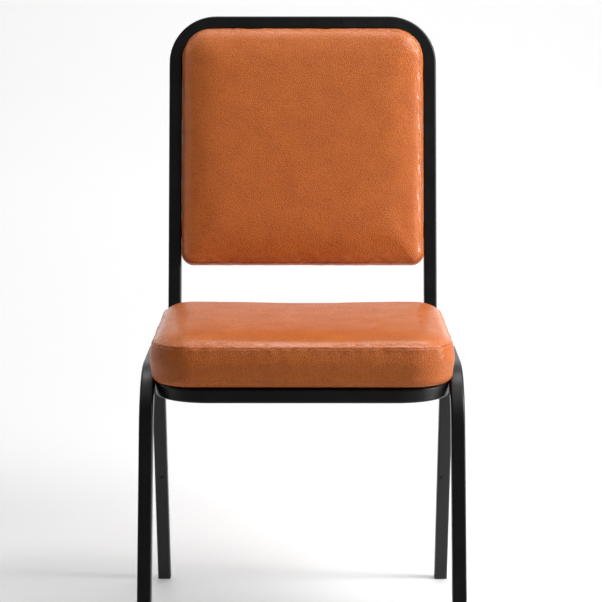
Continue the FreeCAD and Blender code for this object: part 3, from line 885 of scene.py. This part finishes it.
class CHAIR_OT_stage(bpy.types.Operator):
    """Pale floor, even light and the camera"""
    bl_idname = "chair.stage"
    bl_label = "Stage"

    def execute(self, context):
        studio = settings("studio")
        scene = context.scene
        scene.view_settings.view_transform = "Standard"
        camera = bpy.data.cameras.new("camera")
        camera.lens = studio.lens
        camera.sensor_width = 36.0
        camera.clip_end = 50.0
        eye = link_object("camera", camera)
        eye.location = (studio.eye_aside, -studio.eye_ahead, studio.eye_height)
        eye.rotation_euler = (math.pi / 2 - studio.pitch, 0, studio.turn)
        scene.camera = eye
        self.floor()
        self.light()
        return {"FINISHED"}

    def floor(self):
        """A pale floor that curves up into a backdrop."""
        half, near, far, bend, top = 7.0, -6.0, 3.2, 1.6, 5.0
        section = [(near, 0.0), (-1.0, 0.0), (far - bend, 0.0)]
        for k in range(1, 13):
            turn = math.radians(7.5 * k)
            section.append((far - bend + bend * math.sin(turn), bend - bend * math.cos(turn)))
        section.append((far, top))
        points = [(x, y, z) for y, z in section for x in (-half, half)]
        faces = [(2 * i, 2 * i + 1, 2 * i + 3, 2 * i + 2) for i in range(len(section) - 1)]
        floor = mesh_object("studio_floor", points, faces)
        studio = settings("studio")
        material, shader, surface, place = new_material("studio floor", Roughness=0.55,
                                                        Specular_IOR_Level=0.25)
        surface.inputs["Emission Color"].default_value = WHITE
        spot = shader.add("ShaderNodeSeparateXYZ", (0, place)).outputs
        along = spot["Y"]
        aside = shader.math("ABSOLUTE", spot["X"])
        seen = shader.add("ShaderNodeLightPath").outputs["Is Camera Ray"]
        # Near the camera the floor is grey to everything but the camera, so the tubes don't mirror it.
        bright = shader.math("MAXIMUM", seen, shader.ramp(along, -1.3, -0.2))
        base = shader.mix(bright, (0.17, 0.17, 0.17, 1.0), (0.88, 0.88, 0.88, 1.0))
        wall = shader.ramp(along, 0.6, 2.6, 0.0, studio.wall)
        glow = shader.math("ADD", shader.math("MULTIPLY", bright, studio.glow), wall)
        # Far from the chair, where the lights don't reach, the camera sees the floor glow more.
        outer = shader.math("MAXIMUM", shader.ramp(along, -0.8, -3.2), shader.ramp(aside, 1.2, 3.4))
        glow = shader.math("ADD", glow, shader.math("MULTIPLY", shader.math("MULTIPLY", seen, outer), 0.5))
        # From below the floor is clear, and the chair's underside can be seen.
        under = shader.add("ShaderNodeNewGeometry").outputs["Backfacing"]
        above = shader.math("SUBTRACT", 1.0, under)
        feed(shader, surface, Base_Color=base, Emission_Strength=glow, Alpha=above)
        floor.data.materials.append(material)

    def light(self):
        """An even white room and area lights; the room looks brighter than the light it gives."""
        studio = settings("studio")
        world = bpy.data.worlds.new("even room")
        world.use_nodes = True
        shader = Nodes(world.node_tree)
        seen = shader.add("ShaderNodeLightPath").outputs["Is Camera Ray"]
        sky = world.node_tree.nodes["Background"]
        sky.inputs["Color"].default_value = WHITE
        shader.tree.links.new(shader.ramp(seen, 0.0, 1.0, studio.sky, 0.75), sky.inputs["Strength"])
        bpy.context.scene.world = world
        for name, (spot, width, height) in LIGHTS.items():
            lamp = bpy.data.lights.new(name + "_light", "AREA")
            lamp.shape = "RECTANGLE"
            lamp.size = width
            lamp.size_y = height
            lamp.energy = getattr(studio, name)
            lamp_object = link_object(name + "_light", lamp)
            lamp_object.location = spot
            towards = Vector(LIGHT_AIM) - Vector(spot)
            lamp_object.rotation_euler = towards.to_track_quat("-Z", "Y").to_euler()


class CHAIR_OT_frame_finish(bpy.types.Operator):
    """Powder coat on the tubes, and finishes for glides, bumpers, screws and hidden parts"""
    bl_idname = "chair.frame_finish"
    bl_label = "Frame finish"

    def execute(self, context):
        look = settings("finish")
        paint_nodes(TUBE_NODES, coating_material())
        moulded = worn_material("moulded plastic", look.plastic, 0.5, 500.0, 0.00015, dust=0.3)
        paint_nodes(GLIDE_NODES, moulded)
        rubber = worn_material("rubber", tuple(0.7 * c for c in look.plastic), 0.62, 300.0, 0.0002)
        paint_nodes(BUMPER_NODES, rubber)
        black_zinc = worn_material("black zinc", (0.035, 0.035, 0.037), 0.34, 900.0, 0.00005, Metallic=0.85)
        paint_nodes(BLACK_SCREW_NODES, black_zinc)
        paint_nodes(PLAIN_STEEL_NODES, steel_material())
        paint_nodes(BOARD_NODES, plywood_material())
        paint_nodes(("seat_dust_cover",), dust_cloth_material())
        return {"FINISHED"}


class CHAIR_OT_seat_cushion(bpy.types.Operator):
    """Boxed seat cushion with its seam and stitches"""
    bl_idname = "chair.seat_cushion"
    bl_label = "Seat cushion"

    def execute(self, context):
        look = settings("cushions")
        low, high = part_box("seat_cover")
        outline = Outline(SEAT_HALF_WIDTH, low.y, high.y, *SEAT_CORNERS, look.spacing)
        face = domed_face(look.seat_lean, SEAT_SEAM, look.seat_crown, look.seat_shoulder, SEAT_LEVEL)
        cushion = Cushion(outline, face, seat_band(SEAT_SEAM, low.z, SEAT_ROLL, SEAT_TURNED))
        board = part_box("seat_board")[1].z
        pinned = lambda points: np.clip((board + 4 * MM - points[:, 2]) / (6 * MM), 0, 1)
        seat = build_cushion("seat_cushion", cushion, UPRIGHT, pinned)
        self.press_against_rails(seat)
        sew(seat, cushion.from_seam)
        seam = coordinates(seat.data)[cushion.seam]
        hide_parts("seat_cover", "seat_foam")
        finish_piece(seat, leather_material())
        line = stitch_line("seat_seam_line", [seam])
        beads_along("seat_stitches", line, thread_material(), "upholstery", Seed=2, **STITCHES)
        return {"FINISHED"}

    def press_against_rails(self, seat):
        """Low down the side rails hold the cushion in; above them it swells over their edge."""
        points = coordinates(seat.data)
        rear_bend = RAIL_BEND_REAR + TUBE_HALF
        in_front = np.clip(RAIL_BEND_START - points[:, 1], 0, RAIL_BEND * 0.95)
        behind = np.clip(points[:, 1] - REAR_BEND_START, 0, rear_bend * 0.95)
        drop = np.maximum(RAIL_BEND - np.sqrt(RAIL_BEND ** 2 - in_front ** 2),
                          rear_bend - np.sqrt(rear_bend ** 2 - behind ** 2))
        rail_top = RAIL_TOP - drop
        above = np.clip((points[:, 2] - rail_top - 1 * MM) / (12 * MM), 0, 1)
        most = RAIL_INNER - CLEARANCE + SEAT_OVERHANG * np.sin(above * math.pi / 2)
        points[:, 0] = np.clip(points[:, 0], -most, most)
        middle = np.exp(-(points[:, 0] / (120 * MM)) ** 2 - ((points[:, 1] + 20 * MM) / (190 * MM)) ** 2)
        on_top = np.clip((points[:, 2] - 440 * MM) / (10 * MM), 0, 1)
        points[:, 2] -= settings("cushions").seat_dip * middle * on_top
        set_coordinates(seat.data, points)


class CHAIR_OT_back_cushion(bpy.types.Operator):
    """Boxed back cushion inside the hoop, with its seam and stitches"""
    bl_idname = "chair.back_cushion"
    bl_label = "Back cushion"

    def execute(self, context):
        look = settings("cushions")
        low, high = back_box("back_cover")
        top = HOOP_INNER_TOP + BACK_ORIGIN[1]
        outline = Outline(HOOP_INNER - 0.5 * MM, low[1], top, *BACK_CORNERS, look.spacing)
        seam_height = high[2] - look.back_crown
        face = domed_face(look.back_seam_inset, seam_height, look.back_crown, look.back_shoulder, BACK_LEVEL)
        cushion = Cushion(outline, face, back_band(seam_height, low[2], BACK_ROLL, BACK_TURNED))
        held = low[2] + 11 * MM
        pinned = lambda points: np.clip((held - points @ BACK_TURN[:, 2]) / (5 * MM), 0, 1)
        back = build_cushion("back_cushion", cushion, BACK_TURN, pinned)
        self.press_into_hoop(back)
        sew(back, cushion.from_seam)
        seam = coordinates(back.data)[cushion.seam]
        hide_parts("back_cover", "back_foam")
        finish_piece(back, leather_material())
        line = stitch_line("back_seam_line", [seam])
        beads_along("back_stitches", line, thread_material(), "upholstery", Seed=4, **STITCHES)
        return {"FINISHED"}

    def press_into_hoop(self, back):
        """Beside the tube the pad stays inside the hoop; in front of it the pad may swell over it."""
        local = coordinates(back.data) @ BACK_TURN
        proud = np.clip((local[:, 2] - BACK_ORIGIN[2] - TUBE_HALF - 0.5 * MM) / (5 * MM), 0, 1)
        room = BACK_OVERHANG * proud - CLEARANCE
        side = HOOP_INNER + room
        top = HOOP_INNER_TOP + BACK_ORIGIN[1] + room
        radius = np.full(len(local), HOOP_INNER_CORNER) - 8 * MM * proud
        centre = np.column_stack([np.sign(local[:, 0]) * (side - radius), top - radius])
        out = local[:, :2] - centre
        in_corner = (np.abs(local[:, 0]) > side - radius) & (out[:, 1] > 0)
        far = np.linalg.norm(out, axis=1)
        pull = in_corner & (far > radius)
        local[pull, :2] = centre[pull] + out[pull] * (radius[pull] / far[pull])[:, None]
        local[:, 0] = np.clip(local[:, 0], -side, side)
        local[:, 1] = np.minimum(local[:, 1], top)
        set_coordinates(back.data, local @ BACK_TURN.T)


class CHAIR_OT_rear_panel(bpy.types.Operator):
    """Covered panel over the back of the back cushion"""
    bl_idname = "chair.rear_panel"
    bl_label = "Rear panel"

    def execute(self, context):
        look = settings("cushions")
        low, high = back_box("back_rear_panel")
        outline = Outline(high[0], low[1], high[1], *PANEL_CORNERS, look.spacing)
        thick = high[2] - low[2]
        rounding = 1.4 * MM
        face = [(0.0, 0.5 * thick)]
        for k in range(1, 7):
            turn = math.radians(15 * k)
            face.append((rounding * (1 - math.cos(turn)), (0.5 + 0.5 * math.sin(turn)) * thick))
        band = [(0.0, 0.5 * thick), (0.0, 0.2 * thick), (0.3 * MM, 0.0), (6 * MM, 0.0)]
        cushion = Cushion(outline, face, band)
        points = cushion.points - np.array([0, 0, high[2]])
        rearward = BACK_TURN * (-1, 1, -1)
        panel = mesh_object("rear_panel_cover", points @ rearward.T, cushion.faces)
        gathered = np.minimum(0.12 * MM * waves(coordinates(panel.data), 40 * MM, 8), 0)
        set_coordinates(panel.data, coordinates(panel.data) + normals(panel.data) * gathered[:, None])
        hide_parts("back_rear_panel")
        finish_piece(panel, leather_material())
        return {"FINISHED"}


class CHAIR_OT_staples(bpy.types.Operator):
    """Staples round the dust cover under the seat"""
    bl_idname = "chair.staples"
    bl_label = "Staples"

    def execute(self, context):
        low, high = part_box("seat_dust_cover")
        edge = 7 * MM
        past_loop = 188 * MM
        outline = Outline(high.x - edge, low.y + edge, high.y - edge, *STAPLE_CORNERS, 6 * MM)
        ring = np.column_stack([outline.ring(0.0), np.full(outline.size, low.z + 0.1 * MM)])
        runs = split_runs(ring, [abs(point[0]) <= past_loop for point in ring])
        line = stitch_line("staple_line", runs, closed=False)
        beads_along("seat_staples", line, steel_material(), "steel", Seed=7, **STAPLES)
        return {"FINISHED"}


class CHAIR_OT_welds(bpy.types.Operator):
    """Rippled weld beads where the tubes and tabs meet, under the powder coat"""
    bl_idname = "chair.welds"
    bl_label = "Welds"

    def execute(self, context):
        runs = []
        for side in (-1, 1):
            runs += self.at_leg(side) + self.at_cross_rails(side) + self.at_tabs(side)
        line = stitch_line("weld_line", runs, closed=False)
        beads_along("frame_welds", line, coating_material(), "frame", Seed=9, **WELD_RIPPLES)
        return {"FINISHED"}

    def at_leg(self, side):
        """Beads in the groove between a side rail and the loop, and beside the rear leg."""
        loop_low, loop_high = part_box("seat_loop")
        x = side * RAIL_INNER
        runs = [np.array([(x, y * MM, loop_high.z) for y in ends]) for ends in LOOP_WELDS]
        for radius in (RAIL_BEND_REAR + TUBE_HALF, RAIL_BEND_REAR - TUBE_HALF):
            arc = []
            for z in np.linspace(loop_low.z + 3 * MM, loop_high.z - 3 * MM, 9):
                rise = (z - (RAIL_TOP - TUBE_HALF - RAIL_BEND_REAR)) / radius
                arc.append((x, REAR_BEND_START + radius * math.sqrt(1 - rise ** 2), z))
            runs.append(np.array(arc))
        return runs

    def at_cross_rails(self, side):
        """Beads on three sides of each cross rail's end."""
        half = 7 * MM
        runs = []
        for name in ("front_cross_rail", "rear_cross_rail"):
            low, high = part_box(name)
            y, z = (low.y + high.y) / 2, (low.z + high.z) / 2
            x = side * (high.x - 0.6 * MM)
            for dy, dz in ((TUBE_HALF, 0), (-TUBE_HALF, 0), (0, -TUBE_HALF)):
                along_y, along_z = (0, half) if dy else (half, 0)
                runs.append(np.array([(x, y + dy - along_y, z + dz - along_z),
                                      (x, y + dy + along_y, z + dz + along_z)]))
        return runs

    def at_tabs(self, side):
        """A bead down the rear side of each mounting tab."""
        half = 10 * MM
        x, out = side * (HOOP_INNER - 0.4 * MM), BACK_ORIGIN[2] - 7.2 * MM
        runs = []
        for height in TAB_HEIGHTS:
            local = [(x, BACK_ORIGIN[1] + height + d, out) for d in (-half, half)]
            runs.append(np.array(local) @ BACK_TURN.T)
        return runs


class CHAIR_PT_panel(bpy.types.Panel):
    """The chair's pieces, in the order they are made"""
    bl_label = "Stacking chair"
    bl_idname = "CHAIR_PT_panel"
    bl_space_type = "VIEW_3D"
    bl_region_type = "UI"
    bl_category = "Chair"

    def draw(self, context):
        for operator in OPERATORS:
            self.layout.operator(operator.bl_idname)
        for group in SETTINGS:
            values = getattr(context.scene, "chair_" + group)
            for key in values.__annotations__:
                self.layout.prop(values, key)


SETTINGS = {"cushions": CushionSettings, "finish": FinishSettings, "studio": StudioSettings}
OPERATORS = (CHAIR_OT_stage, CHAIR_OT_frame_finish, CHAIR_OT_welds, CHAIR_OT_seat_cushion,
             CHAIR_OT_back_cushion, CHAIR_OT_rear_panel, CHAIR_OT_staples)


def register():
    for cls in (*SETTINGS.values(), *OPERATORS, CHAIR_PT_panel):
        bpy.utils.register_class(cls)
    for name, cls in SETTINGS.items():
        setattr(bpy.types.Scene, "chair_" + name, PointerProperty(type=cls))


def unregister():
    for name in SETTINGS:
        delattr(bpy.types.Scene, "chair_" + name)
    for cls in reversed((*SETTINGS.values(), *OPERATORS, CHAIR_PT_panel)):
        bpy.utils.unregister_class(cls)


def main():
    register()
    for operator in OPERATORS:
        category, name = operator.bl_idname.split(".")
        getattr(getattr(bpy.ops, category), name)()


if __name__ == "__main__":
    main()
